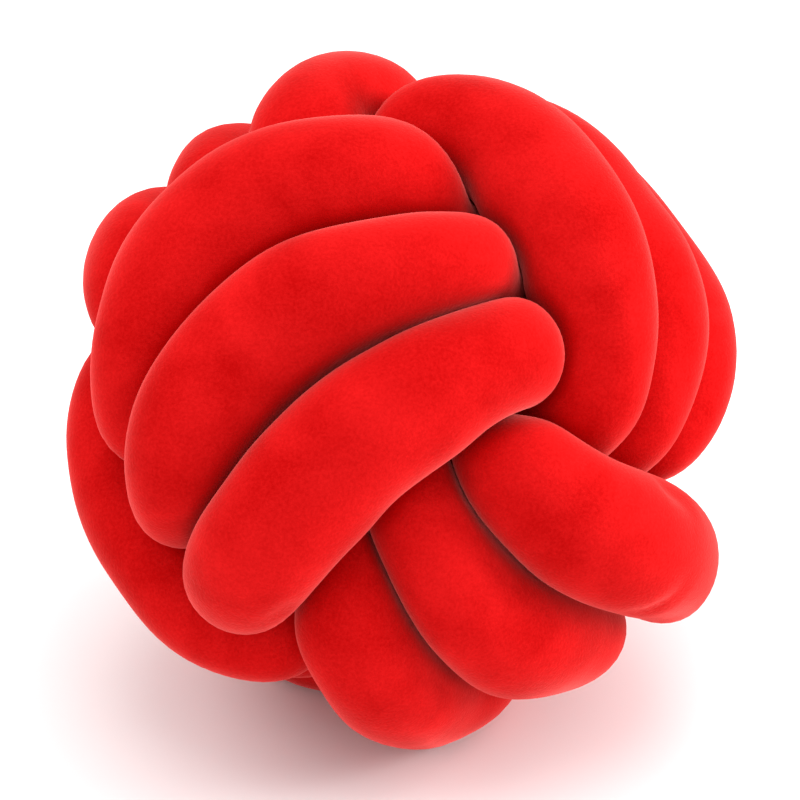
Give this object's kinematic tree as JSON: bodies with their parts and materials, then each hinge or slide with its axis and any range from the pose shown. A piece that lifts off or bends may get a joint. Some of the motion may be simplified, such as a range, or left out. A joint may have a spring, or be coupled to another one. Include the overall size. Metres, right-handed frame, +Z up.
{
  "type": "knot cushion",
  "caption": "Ball-shaped cushion made of one long stuffed velvet tube, tied as a monkey's fist knot.",
  "frame": {"origin": "centre of the footprint of the cushion's bounding box, on the surface that it rests on", "axes": "+Z is up as the cushion rests; -Y is its front, the side that the picture shows from a little above; +X is to the right in the picture"},
  "size_m": [0.2684, 0.2767, 0.2567],
  "materials": {
    "red_velvet": "matte"
  },
  "bodies": {
    "root": {"knotted_tube": "red_velvet"}
  },
  "joints": []
}
